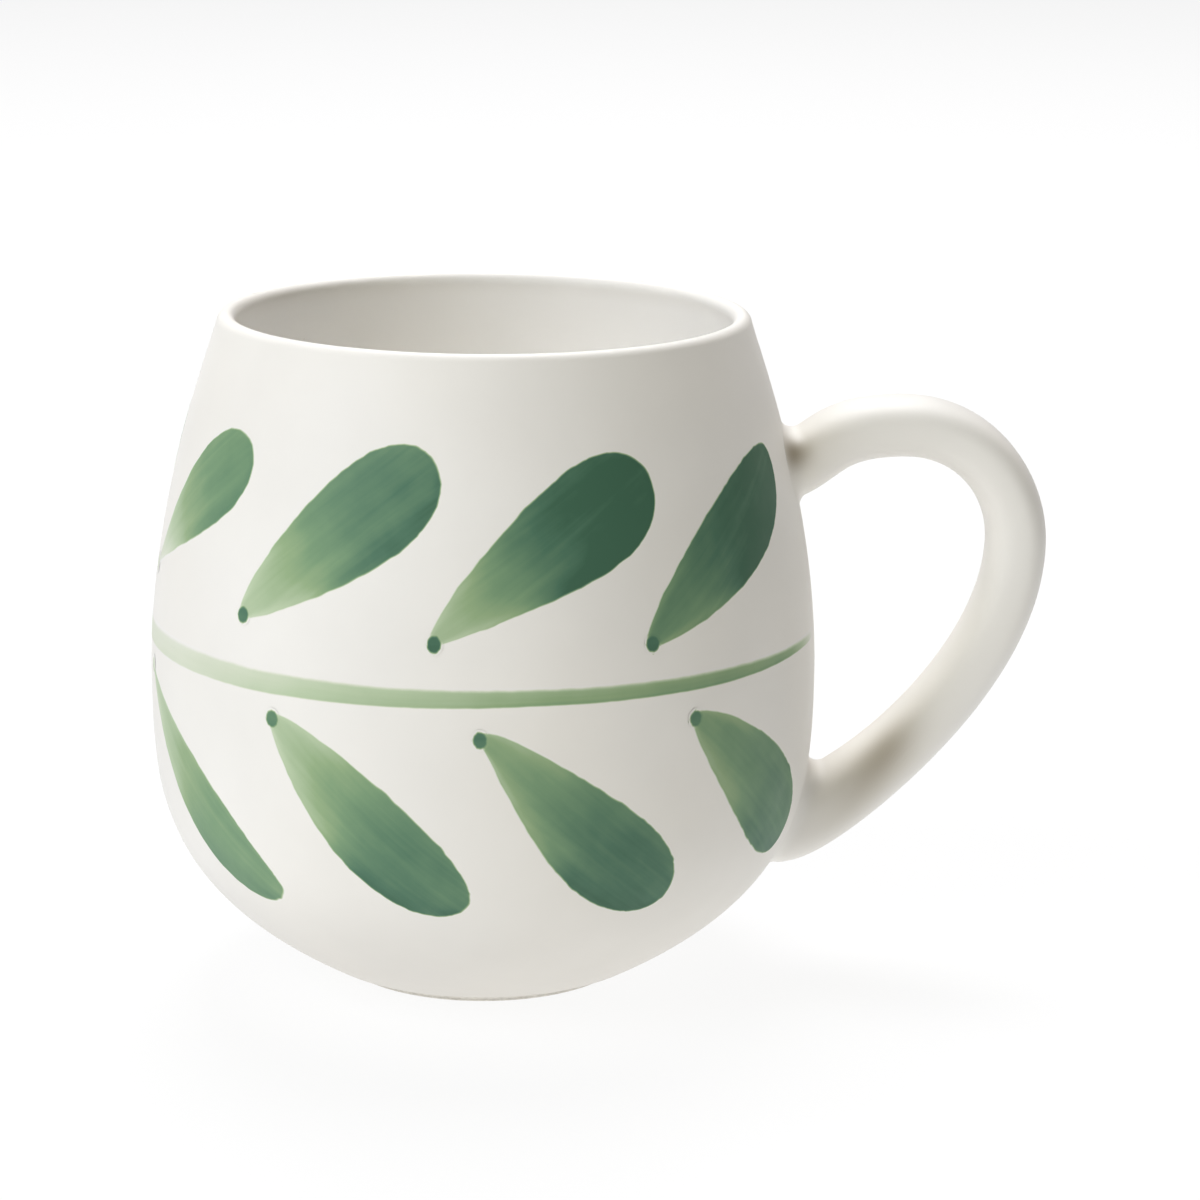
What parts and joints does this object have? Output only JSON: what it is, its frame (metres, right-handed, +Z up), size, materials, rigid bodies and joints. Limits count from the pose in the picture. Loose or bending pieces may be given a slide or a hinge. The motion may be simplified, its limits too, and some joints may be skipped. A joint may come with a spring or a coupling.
{
  "type": "stoneware mug",
  "caption": "Round-bellied stoneware mug with a loop handle, satin white glaze and a hand-painted band of green leaves on a stem.",
  "frame": {"origin": "centre of the foot ring, on the surface the mug stands on", "axes": "+Z up along the mug's axis, handle along +X"},
  "size_m": [0.1264, 0.0942, 0.0944],
  "materials": {
    "stoneware": "fine matte clay body, bare on the foot ring",
    "slip": "smoothed luting slip under the glaze",
    "glaze": "satin warm white glaze with a soft sheen",
    "stem_green": "thin pale sage green brush line in satin glaze",
    "leaf_green": "brush-painted green running from yellow green to blue green, in satin glaze",
    "dot_green": "thicker dark green dab in satin glaze"
  },
  "bodies": {
    "root": {"cup_body": "stoneware", "handle": "stoneware", "upper_handle_joint": "slip", "lower_handle_joint": "slip", "outer_glaze": "glaze", "liner_glaze": "glaze", "base_glaze": "glaze", "handle_glaze": "glaze", "stem_stroke": "stem_green", "upper_leaf_1": "leaf_green", "upper_leaf_2": "leaf_green", "upper_leaf_3": "leaf_green", "upper_leaf_4": "leaf_green", "upper_leaf_5": "leaf_green", "upper_leaf_6": "leaf_green", "upper_leaf_7": "leaf_green", "upper_leaf_8": "leaf_green", "lower_leaf_1": "leaf_green", "lower_leaf_2": "leaf_green", "lower_leaf_3": "leaf_green", "lower_leaf_4": "leaf_green", "lower_leaf_5": "leaf_green", "lower_leaf_6": "leaf_green", "lower_leaf_7": "leaf_green", "lower_leaf_8": "leaf_green", "upper_leaf_dots": "dot_green", "lower_leaf_dots": "dot_green"}
  },
  "joints": []
}
